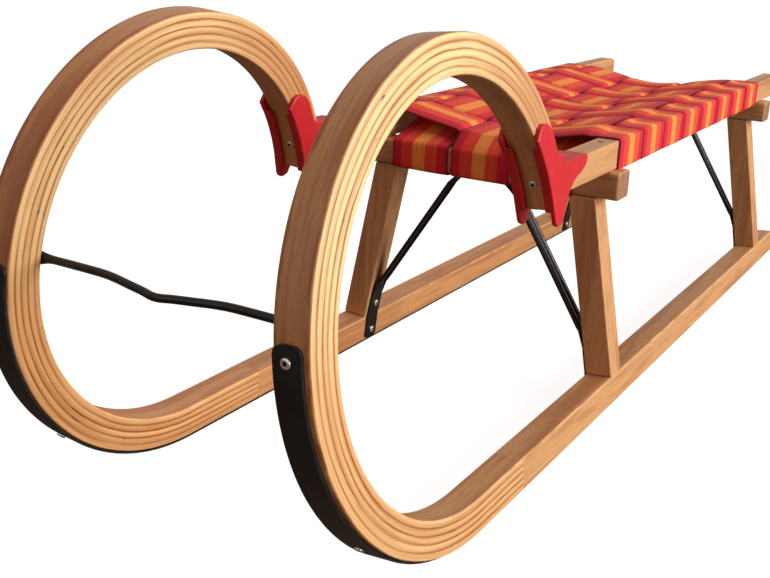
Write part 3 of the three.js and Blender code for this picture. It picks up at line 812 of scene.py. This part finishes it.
def build_shoe(side):
    """Steel strip under the runner, from near the heel to the front of the horn, round at both ends."""
    half = SHOE_WIDTH / 2
    heel = -FOOT_LENGTH + SHOE_HEEL_MARGIN
    nose = bend_length(SHOE_NOSE_ANGLE)
    rounding = SHOE_END * (1 - np.cos(np.linspace(0.12, QUARTER, 14)))
    stations = np.concatenate(
        (
            heel + rounding,
            np.linspace(heel + SHOE_END, 0, 40)[1:],
            np.linspace(0, nose - SHOE_END, 90)[1:],
            (nose - rounding)[::-1][1:],
        )
    )
    upper, lower = GAP, GAP + SHOE_THICK
    shoulder = lower - SHOE_EDGE
    section = (
        (-1, 0, upper),
        (-1, 0, shoulder),
        (-1, SHOE_EDGE, lower),
        (1, -SHOE_EDGE, lower),
        (1, 0, shoulder),
        (1, 0, upper),
        (0.5, 0, upper),
        (-0.5, 0, upper),
    )
    share, inset, below = np.array(section).T
    rings = []
    for length in stations:
        to_end = min(length - heel, nose - length)
        short = max(1 - to_end / SHOE_END, 0.0)
        reach = half * (1 - short**SHOE_END_POWER) ** (1 / SHOE_END_POWER)
        across = SHOE_INNER + half + share * reach + inset
        forward, up = along_runner(length, -below)
        rings.append(on_runner(forward, up, across, SIDES[side]))
    piece = loft(f"steel_shoe_{side}", np.array(rings))
    smooth_by_angle(piece, 35)
    return finish_piece(piece, f"runner_shoe_{side}", "shoe")


def build_rod(name, places, wides, flats):
    """Round rod that turns into flat plates: flatness 0 is round, 1 is a plate wide along its wide vector."""
    data = spline(np.hstack([np.asarray(places), np.asarray(wides), np.asarray(flats)[:, None]]))
    centre, wide, flat = data[:, :3], data[:, 3:6], np.clip(data[:, 6], 0, 1)
    along = path_directions(centre)
    across = wide - along * (wide * along).sum(1)[:, None]
    across /= np.linalg.norm(across, axis=1)[:, None]
    thin = np.cross(along, across)
    blunt = np.clip(length_to_end(centre) / TIE_PLATE_HALF_WIDTH, 0.04, 1)
    blunt = np.sqrt(1 - (1 - blunt) ** 2)
    t = 2 * math.pi * (np.arange(TIE_AROUND) + 0.5) / TIE_AROUND
    width = (TIE_RADIUS + (TIE_PLATE_HALF_WIDTH - TIE_RADIUS) * flat) * np.where(flat > 0.8, blunt, 1)
    height = TIE_RADIUS + (PLATE_HALF_THICK - TIE_RADIUS) * flat
    power = (1 + (TIE_PLATE_POWER - 1) * flat)[:, None]
    sideways = width[:, None] * np.sign(np.cos(t)) * np.abs(np.cos(t)) ** power
    outwards = height[:, None] * np.sign(np.sin(t)) * np.abs(np.sin(t)) ** power
    rings = centre[:, None] + across[:, None] * sideways[..., None] + thin[:, None] * outwards[..., None]
    return loft(name, rings)


def sheet_line(s, formed):
    """Middle line across a pressed sheet, flat at 0 and a channel at 1: sideways, outwards, lean."""
    turned = np.clip((np.abs(s) - STRUT_HALF_WEB) / (STRUT_FOLD * QUARTER), 0, 1)
    folded = np.sign(s) * formed * turned * QUARTER
    middle = (folded[1:] + folded[:-1]) / 2
    sideways = np.concatenate([[0], np.cumsum(np.diff(s) * np.cos(middle))])
    outwards = -np.concatenate([[0], np.cumsum(np.diff(s) * np.sin(middle))])
    groove = np.cos(QUARTER * np.clip(s / STRUT_HALF_GROOVE, -1, 1)) ** 2
    outwards -= STRUT_GROOVE_DEPTH * formed * groove
    outwards -= (outwards.max() + outwards.min()) / 2
    lean = -np.arctan2(np.gradient(outwards, s), np.gradient(sideways, s))
    return sideways - sideways[-1] / 2, outwards, lean


def build_channel(name, places, flats, side):
    """Pressed strut: a sheet, flat at its ends and folded to a channel between them, wide along Y."""
    data = spline(np.hstack([np.asarray(places), np.asarray(flats)[:, None]]))
    centre, flat = data[:, :3], np.clip(data[:, 3], 0, 1)
    outward = np.cross((0, 1, 0), path_directions(centre))
    short = np.clip(1 - length_to_end(centre) / STRUT_END, 0, 0.97)
    reach = (1 - short**STRUT_END_POWER) ** (1 / STRUT_END_POWER)
    line = np.linspace(-STRUT_HALF_SHEET, STRUT_HALF_SHEET, SHEET_STEPS)
    # Painted highlight mask: a narrow band along each ridge beside the groove, nothing where the sheet is
    # flat
    ridge_highlight = np.exp(-(((np.abs(line) - STRUT_HALF_GROOVE) / RIDGE_HIGHLIGHT_WIDTH) ** 2))
    ridge_highlight = np.concatenate([ridge_highlight, ridge_highlight[::-1]])
    rings, ridge_highlight_mask = [], []
    for i in range(len(centre)):
        sideways, outwards, lean = sheet_line(line, 1 - flat[i])
        half = STRUT_SHEET + (PLATE_HALF_THICK - STRUT_SHEET) * flat[i]
        step_y, step_out = half * np.sin(lean), half * np.cos(lean)
        y = np.concatenate([sideways + step_y, (sideways - step_y)[::-1]]) * reach[i]
        out = np.concatenate([outwards + step_out, (outwards - step_out)[::-1]])
        ring = centre[i] + np.outer(y, (0, 1, 0)) + np.outer(out, outward[i])
        rings.append(ring * (side, 1, 1))
        ridge_highlight_mask.append(np.outer(ridge_highlight * (1 - flat[i]), (1, 0, 0)))
    piece = loft(name, np.array(rings), {"ridge_highlight_mask": np.array(ridge_highlight_mask)})
    smooth_by_angle(piece, 40)
    return piece


def leg_inner_x(z):
    """X of a left leg's inner face at a height."""
    foot = on_runner(0.0, RUNNER_DEPTH + GAP, 0.0)
    return foot[0] - LEG_SPLAY * (z - foot[2])


def strut_foot(z):
    """(x, z) of the strut's lower plate, which lies on the runner and then on the leg."""
    out = -(GAP + PLATE_HALF_THICK)
    joint = on_runner(0.0, RUNNER_DEPTH, 0.0)
    if z < joint[2]:
        return on_runner(0.0, (z - SOLE_Z) / math.cos(CANT), out)[[0, 2]]
    return np.array([leg_inner_x(z) + out / math.cos(math.atan(LEG_SPLAY)), z])


def build_strut(end, side):
    low, high = box(f"{end}_crossbeam")
    y = (low[1] + high[1]) / 2
    head = low[2] - GAP - PLATE_HALF_THICK
    foot = [strut_foot(z * MM) for z in STRUT_FOOT_HEIGHTS]
    bend = np.array([leg_inner_x(STRUT_BEND_HEIGHT) - STRUT_BEND_OFF, STRUT_BEND_HEIGHT])
    top = np.array([STRUT_TOP_X + STRUT_TOP_RUN, head - STRUT_TOP_RUN])
    channel = [bend + (top - bend) * share for share, _ in STRUT_CHANNEL]
    plate = [(STRUT_TOP_X - inwards * MM, head - down * MM) for inwards, down, _ in STRUT_HEAD]
    places = [(x, y, z) for x, z in foot + channel + plate]
    flats = [1] * len(foot) + [row[-1] for row in STRUT_CHANNEL + STRUT_HEAD]
    piece = build_channel(f"steel_strut_{end}_{side}", places, flats, SIDES[side])
    return finish_piece(piece, f"{end}_strut_{side}", "rod")


def build_tie_bar():
    """Rod from horn to horn with a soft kink in the middle, and its ends flat behind the horns."""
    depth = RUNNER_DEPTH + GAP + PLATE_HALF_THICK
    forward, up = arc_point(TIE_ANGLE, depth)
    ahead, behind = (np.array(arc_point(TIE_ANGLE + d, depth)) for d in (1, -1))
    tangent = (ahead - behind) / np.linalg.norm(ahead - behind)
    rise = np.array([-math.sin(CANT), 0, math.cos(CANT)])
    wide = rise * tangent[1] + np.array([0, -tangent[0], 0])
    half = [on_runner(forward, up, across * MM) for across in TIE_SEATS]
    neck = half[-1] + np.array(TIE_NECK)
    half.append(neck)
    for x, bow in TIE_BOW:
        half.append(np.array([x * MM, neck[1] - TIE_BULGE * bow, neck[2] - TIE_BULGE_DROP * bow]))
    flats = [1] * len(TIE_SEATS) + [0] * (1 + len(TIE_BOW))
    mirror = np.array([-1, 1, 1])
    places = half + [p * mirror for p in half[::-1]]
    wides = [wide] * len(half) + [wide * mirror] * len(half)
    piece = build_rod("steel_tie_bar", places, wides, flats + flats[::-1])
    return finish_piece(piece, "horn_tie_bar", "rod")


# ---- screws


def screw_place(node):
    """Base centre and outward direction of a CAD screw head."""
    points = np.array([v.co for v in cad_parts[node].data.vertices], float)
    points = np.unique(np.round(points, 7), axis=0)
    centre = points.mean(0)
    normal = np.linalg.svd(points - centre)[2][2]
    height = (points - centre) @ normal
    radius = np.linalg.norm(points - centre - np.outer(height, normal), axis=1)
    rim = radius > 0.9 * HEAD_RADIUS
    if height[rim].mean() > height[~rim].mean():
        normal, height = -normal, -height
    return centre + normal * height.min(), normal


def build_screw(node):
    """Pan head with a six-lobed socket, or a small countersunk one on top of a seat rail."""
    base, normal = screw_place(node)
    sunk = node.startswith("rail_screw")
    t = 2 * math.pi * np.arange(SCREW_AROUND) / SCREW_AROUND
    head = HEAD_RADIUS * np.ones(SCREW_AROUND)
    socket = SOCKET_RADIUS * (1 + LOBE_SHARE * np.cos(SOCKET_LOBES * t))
    profile = [(share * head, height * HEAD_HEIGHT) for share, height in HEAD_PROFILE]
    profile += [(share * socket, HEAD_HEIGHT - depth) for share, depth in SOCKET_PROFILE]
    turn = np.array(Vector((0, 0, 1)).rotation_difference(Vector(normal)).to_matrix())
    local = np.array([np.stack([r * np.cos(t), r * np.sin(t), h + 0 * t], axis=-1) for r, h in profile])
    size = np.array(SUNK_SCREW if sunk else (1, 1, 1))
    rings = (local * size) @ turn.T + base
    piece = loft(f"{node}_head", rings, {"head": local})
    smooth_by_angle(piece, 40)
    return finish_piece(piece, node, "dark_zinc" if sunk else "zinc")


# ---- connectors


def build_connector(side):
    """The CAD moulding, remeshed fine so that its corners are as soft as moulded ones."""
    node = f"horn_connector_{side}"
    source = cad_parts[node]
    piece = bpy.data.objects.new(f"moulded_connector_{side}", source.data.copy())
    bpy.context.scene.collection.objects.link(piece)
    remesh = piece.modifiers.new("Fine", "REMESH")
    remesh.mode = "VOXEL"
    remesh.voxel_size = CONNECTOR_VOXEL
    soften = piece.modifiers.new("Soften", "SMOOTH")
    soften.factor = 0.5
    soften.iterations = 5
    depsgraph = bpy.context.evaluated_depsgraph_get()
    mesh = bpy.data.meshes.new_from_object(piece.evaluated_get(depsgraph), depsgraph=depsgraph)
    piece.modifiers.clear()
    piece.data = mesh
    mark = Vector((SIDES[side] * GATE_MARK[0], GATE_MARK[1], GATE_MARK[2]))
    inward = Vector((-SIDES[side] * math.cos(CANT), 0, -math.sin(CANT)))
    for v in mesh.vertices:
        away = (v.co - mark).length
        if away < GATE_RADIUS:
            v.co += inward * GATE_DEPTH * (1 - (away / GATE_RADIUS) ** 2)
    mesh.polygons.foreach_set("use_smooth", [True] * len(mesh.polygons))
    return finish_piece(piece, node, "plastic")


# ---- woven seat

rail_low, rail_high = box("seat_rail_left")
front_low, front_high = box("front_crossbeam")
_, rear_high = box("rear_crossbeam")
row_boxes = [box(f"cross_band_{k + 1}") for k in range(ROWS)]
ROW_Y = [(low[1] + high[1]) / 2 for low, high in row_boxes]
ROW_PITCH = (ROW_Y[-1] - ROW_Y[0]) / (ROWS - 1)
SEAT_FRONT = ROW_Y[0] - ROW_PITCH / 2
SEAT_REAR = ROW_Y[-1] + ROW_PITCH / 2
SPAN = rail_low[0] - RAIL_EDGE
RAIL_SURFACE = rail_high[2] + BAND_OFF_WOOD
LONG_X = {side: sum(b[0] for b in box(f"long_band_{side}")) / 2 for side in ("right", "middle", "left")}
LONG_PITCH = LONG_X["left"] - LONG_X["middle"]
BEAM_TURN_Z = front_high[2] - BAND_TURN
RAMP_OVER = 3 * MM
RAMP_UNDER = 0.8 * ROW_PITCH


def seat_height(x, y):
    """Middle surface of the seat, which hangs between the rails and is pulled down at its two ends."""
    middle = (ROW_Y[0] + ROW_Y[-1]) / 2
    end = np.abs((y - middle) / (SEAT_REAR - middle)) ** 3
    sag = SAG_MIDDLE + (SAG_ENDS - SAG_MIDDLE) * np.clip(end, 0, 1)
    share = np.clip(np.abs(x) / SPAN, 0, 1)
    rise = (np.hypot(share, SAG_ROUND) - SAG_ROUND) / (math.hypot(1, SAG_ROUND) - SAG_ROUND)
    return RAIL_SURFACE - sag * (1 - rise)


def switch(place, at, width):
    """Turns from 0 to 1 round a place."""
    return smoothstep((place - at) / width + 0.5)


def row_rises(x, row):
    """+1 where a crosswise row lies over a lengthwise band, -1 where it dives under, 0 at the rails."""
    sign = 1 if row % 2 == 0 else -1
    turned = 2 * switch(np.abs(x), LONG_PITCH / 2, ROW_TURN) - 1
    fade = 1 - switch(np.abs(x), SPAN - RAIL_FADE_FROM, RAIL_FADE)
    return sign * turned * fade


def long_rises(y, band):
    """+1 where a lengthwise band lies over a row, -1 where it dives under."""
    sign = 1 if band == "middle" else -1
    rise = sign + 0 * y
    for row in range(1, ROWS):
        boundary = ROW_Y[row] - ROW_PITCH / 2
        rise = rise + (-2 * sign if row % 2 else 2 * sign) * switch(y, boundary, LONG_TURN)
    return rise


def surface_normal(surface):
    """Unit normals of a grid of points."""
    normal = np.cross(np.gradient(surface, axis=1), np.gradient(surface, axis=0))
    return normal / np.linalg.norm(normal, axis=2)[..., None]


def band_shell(name, surface, bulge, along, across, node, seed):
    """Closed woven strip from its middle surface (stations, points across, 3) with rounded edges.

    The strip arches by its bulge, which is large where it hangs free and small on the wood.
    """
    half = BAND_WIDTH / 2
    arch = bulge * (1 - np.abs(across / half) ** 2.2)[None, :]
    waves = np.sin(23 * along + 2.1 * seed)[:, None] * np.cos(70 * across + seed)[None, :]
    surface = surface + surface_normal(surface) * (arch + BAND_SLACK * (1 + waves))[..., None]
    normal = surface_normal(surface)
    to_edge = np.clip((half - np.abs(across)) / BAND_HALF_THICK, 0, 1)
    thick = BAND_HALF_THICK * np.sqrt(np.clip(1 - (1 - to_edge) ** 2, 0.0, 1))
    upper = surface + normal * thick[None, :, None]
    lower = surface - normal * thick[None, :, None]
    rings = np.concatenate([upper, lower[:, -2:0:-1]], axis=1)
    around = np.concatenate([across, across[-2:0:-1]])
    band = np.stack(np.broadcast_arrays(along[:, None], around[None, :], seed * 0.7), axis=-1)
    piece = loft(name, rings, {"band": band})
    return finish_piece(piece, node, "webbing")


def strip_positions():
    """Places across a band, closer together at its edges."""
    half = BAND_WIDTH / 2
    inner = np.linspace(-1, 1, 23) * (half - 2.2 * MM)
    edge = half - BAND_HALF_THICK * np.array([0.0, 0.12, 0.4, 1.0, 1.7])
    return np.concatenate([-edge, inner, edge[::-1]])


def corner(centre, radius, start, sweep):
    """Points of an arc that turns a path round an edge."""
    t = np.radians(start + sweep * np.linspace(0, 1, 7))
    return [(centre[0] + radius * math.cos(a), centre[1] + radius * math.sin(a)) for a in t]


def resample(points):
    """The same path in even steps: the lengths along it and its points."""
    points = np.array(points)
    travelled = np.concatenate([[0], np.cumsum(np.linalg.norm(np.diff(points, axis=0), axis=1))])
    places = np.linspace(0, travelled[-1], int(travelled[-1] / BAND_STEP) + 1)
    return places, np.stack([np.interp(places, travelled, points[:, i]) for i in (0, 1)], axis=-1)


def build_cross_band(row, random):
    """One crosswise row: from under one rail up its side, across the seat and round the other rail."""
    radius = RAIL_EDGE + BAND_OFF_WOOD
    outer = rail_high[0] - RAIL_EDGE
    top, bottom = rail_high[2] - RAIL_EDGE, rail_low[2] + RAIL_EDGE
    # The first row ends at once under the rail, because the front crossbeam is there
    meets_beam = ROW_Y[row] - BAND_WIDTH / 2 < front_high[1]
    tail = SHORT_TAIL if meets_beam else CROSS_TAIL
    right = [(outer - tail, bottom - radius)] + corner((outer, bottom), radius, 270, 90)
    right += corner((outer, top), radius, 0, 90)
    right += [(x, RAIL_SURFACE) for x in np.linspace(outer, SPAN, 8)[1:]]
    inside = [(x, RAIL_SURFACE) for x in np.linspace(SPAN, -SPAN, 100)[1:-1]]
    path = right + inside + [(-x, z) for x, z in right[::-1]]
    along, line = resample(path)
    across = strip_positions()
    x = line[:, :1] + 0 * across
    drift = random.uniform(-1, 1, 3)
    skew = ROW_SKEW * drift[0] * np.sin(math.pi * x / SPAN) + ROW_SHIFT * drift[1]
    y = ROW_Y[row] + across[None, :] + skew
    inner = np.abs(x) < SPAN
    edge = np.abs(across / (BAND_WIDTH / 2))
    crown = 1 - EDGE_DROP * edge**6
    hang = seat_height(x, y) + WEAVE_HEIGHT * row_rises(x, row) * crown[None, :]
    free = 1 - switch(np.abs(x), SPAN, FREE_FADE)
    curl = EDGE_CURL * edge[None, :] ** 8 * free
    z = np.where(inner, hang - curl, line[:, 1:])
    surface = np.stack([x, y, z], axis=-1)
    bulge = BULGE_ON_WOOD + (ROW_BULGE - BULGE_ON_WOOD) * free
    return band_shell(f"woven_row_{row + 1}", surface, bulge, along, across, f"cross_band_{row + 1}", row)


def round_beam(face_y, inward):
    """Path (y, z) from under a crossbeam, up its outer face and over its top edge."""
    radius = BEAM_EDGE + BAND_OFF_WOOD
    edge_y, bottom = face_y + inward * BEAM_EDGE, front_low[2] + BEAM_EDGE
    path = [(edge_y + inward * LONG_TAIL, bottom - radius)]
    path += corner((edge_y, bottom), radius, 270, -90 * inward)
    centre = (face_y + inward * BAND_TURN, BEAM_TURN_Z)
    return path + corner(centre, BAND_TURN + BAND_OFF_WOOD, 90 + 90 * inward, -BEAM_LEAVE * inward)


def build_long_band(band, random):
    """One lengthwise band: round the front beam, up into the weave and down round the rear beam."""
    front, rear = round_beam(front_low[1], 1), round_beam(rear_high[1], -1)
    ramp_start, ramp_end = front[-1], rear[-1]
    seat = [(y, ramp_start[1]) for y in np.linspace(ramp_start[0], ramp_end[0], 420)[1:-1]]
    along, line = resample(front + seat + rear[::-1])
    across = strip_positions()
    y = line[:, :1] + 0 * across
    drift = random.uniform(-1, 1, 2)
    x = LONG_X[band] + across[None, :] + LONG_SWAY * drift[0] * np.sin(3 * math.pi * y)
    edge = np.abs(across / (BAND_WIDTH / 2))
    crown = 1 - EDGE_DROP * edge**6
    woven = seat_height(x, np.clip(y, SEAT_FRONT, SEAT_REAR))
    woven = woven + WEAVE_HEIGHT * long_rises(y, band) * crown[None, :]

    # An end over its row rises to the seat at once, an end under its row takes most of the row
    first, last = (RAMP_OVER, RAMP_UNDER) if band == "middle" else (RAMP_UNDER, RAMP_OVER)
    ramp = np.clip((y - ramp_start[0]) / (SEAT_FRONT + first - ramp_start[0]), 0, 1)
    ramp = ramp * np.clip((ramp_end[0] - y) / (ramp_end[0] - SEAT_REAR + last), 0, 1)
    between = (line[:, :1] >= ramp_start[0]) & (line[:, :1] <= ramp_end[0]) & (line[:, 1:] > BEAM_TURN_Z)
    z = np.where(between, ramp_start[1] + (woven - ramp_start[1]) * ramp, line[:, 1:])
    surface = np.stack([x, y, z], axis=-1)
    seed = list(LONG_X).index(band) + ROWS
    bulge = BULGE_ON_WOOD + (LONG_BULGE - BULGE_ON_WOOD) * between * smoothstep(4 * ramp)
    return band_shell(f"woven_band_{band}", surface, bulge, along, across, f"long_band_{band}", seed)


# ---- stage


def build_floor():
    """Pale floor, near white under the sledge and quite white where it meets the surroundings."""
    reach = FLOOR_HALF
    corners = [(-reach, -reach, 0), (reach, -reach, 0), (reach, reach, 0), (-reach, reach, 0)]
    floor = mesh_object("floor", corners, [(0, 1, 2, 3)])
    s = Shader("pale_floor")
    away = s.node("VectorMath", {0: s.node("NewGeometry")}, 1, operation="LENGTH")
    s.set(
        Base_Color=s.ramp(s.range(away, *FLOOR_FADE), ((0, FLOOR_NEAR), (1, FLOOR_FAR))),
        Roughness=0.9,
        Emission_Color=WHITE,
        Emission_Strength=s.range(away, *FLOOR_FADE, *FLOOR_GLOW),
    )
    dim = s.node("BsdfDiffuse", {"Color": FLOOR_BOUNCE})
    seen = s.node("MixShader", {0: s.node("LightPath"), 1: dim, 2: s.body.outputs[0]})
    s.put(s.output.inputs[0], seen)
    floor.data.materials.append(s.material)


def build_world():
    """White surroundings for the camera, greyer in reflections, and a dim warm fill for the object."""
    world = bpy.data.worlds.new("studio")
    bpy.context.scene.world = world
    world.use_nodes = True
    tree = world.node_tree
    tree.nodes.clear()

    def background(colour, strength):
        made = tree.nodes.new("ShaderNodeBackground")
        made.inputs[0].default_value = (*colour, 1)
        made.inputs[1].default_value = strength
        return made.outputs[0]

    def mixed(factor, a, b):
        made = tree.nodes.new("ShaderNodeMixShader")
        for socket, source in zip(made.inputs, (factor, a, b)):
            tree.links.new(source, socket)
        return made.outputs[0]

    path = tree.nodes.new("ShaderNodeLightPath").outputs
    unseen = mixed(path["Is Glossy Ray"], background(*WORLD_FILL), background(*WORLD_SHINE))
    output = tree.nodes.new("ShaderNodeOutputWorld")
    tree.links.new(mixed(path["Is Camera Ray"], unseen, background(*WORLD_SEEN)), output.inputs[0])


def soft_light(name, place, target, size, power, colour, shines):
    """Rectangular studio light that the camera doesn't see."""
    light = bpy.data.lights.new(name, "AREA")
    light.shape = "RECTANGLE"
    light.size, light.size_y = size
    light.energy = power
    light.color = colour
    lamp = bpy.data.objects.new(name, light)
    lamp.location = place
    lamp.rotation_mode = "QUATERNION"
    lamp.rotation_quaternion = (Vector(target) - Vector(place)).to_track_quat("-Z", "Y")
    lamp.visible_camera = False
    lamp.visible_glossy = shines
    bpy.context.scene.collection.objects.link(lamp)


def build_camera():
    """Front three-quarter view from the rider's left, slightly above the horns."""
    level = Vector((math.cos(CAMERA_YAW), math.sin(CAMERA_YAW), 0))
    heading = Vector((-math.sin(CAMERA_YAW), math.cos(CAMERA_YAW), 0))
    ahead = heading * math.cos(CAMERA_PITCH) + Vector((0, 0, math.sin(CAMERA_PITCH)))
    upward = level.cross(ahead)
    right = level * math.cos(CAMERA_ROLL) + upward * math.sin(CAMERA_ROLL)
    up = upward * math.cos(CAMERA_ROLL) - level * math.sin(CAMERA_ROLL)
    turn = Matrix((right, up, -ahead)).transposed()
    camera = bpy.data.cameras.new("camera")
    camera.sensor_width = CAMERA_SENSOR
    camera.lens = CAMERA_LENS
    eye = bpy.data.objects.new("camera", camera)
    eye.matrix_world = Matrix.Translation(CAMERA_PLACE) @ turn.to_4x4()
    bpy.context.scene.collection.objects.link(eye)
    bpy.context.scene.camera = eye


# ---- assembly

for side in SIDES:
    build_runner(side)
    build_shoe(side)
    build_connector(side)
    for end in ("front", "rear"):
        build_strut(end, side)
build_tie_bar()

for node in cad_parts:
    if "_screw" in node:
        build_screw(node)

random = np.random.default_rng(11)
for row in range(ROWS):
    build_cross_band(row, random)
for band in LONG_X:
    build_long_band(band, random)

CARRIED = {"seat_rail": "rail", "crossbeam": "beam", "_leg_": "leg"}
for node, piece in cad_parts.items():
    for part, material in CARRIED.items():
        if part in node:
            piece.data.materials.clear()
            piece.data.materials.append(MATERIALS[material])

build_floor()
build_world()
for name, setting in LIGHTS.items():
    soft_light(name, *setting)
build_camera()
bpy.context.scene.view_settings.view_transform = "Standard"
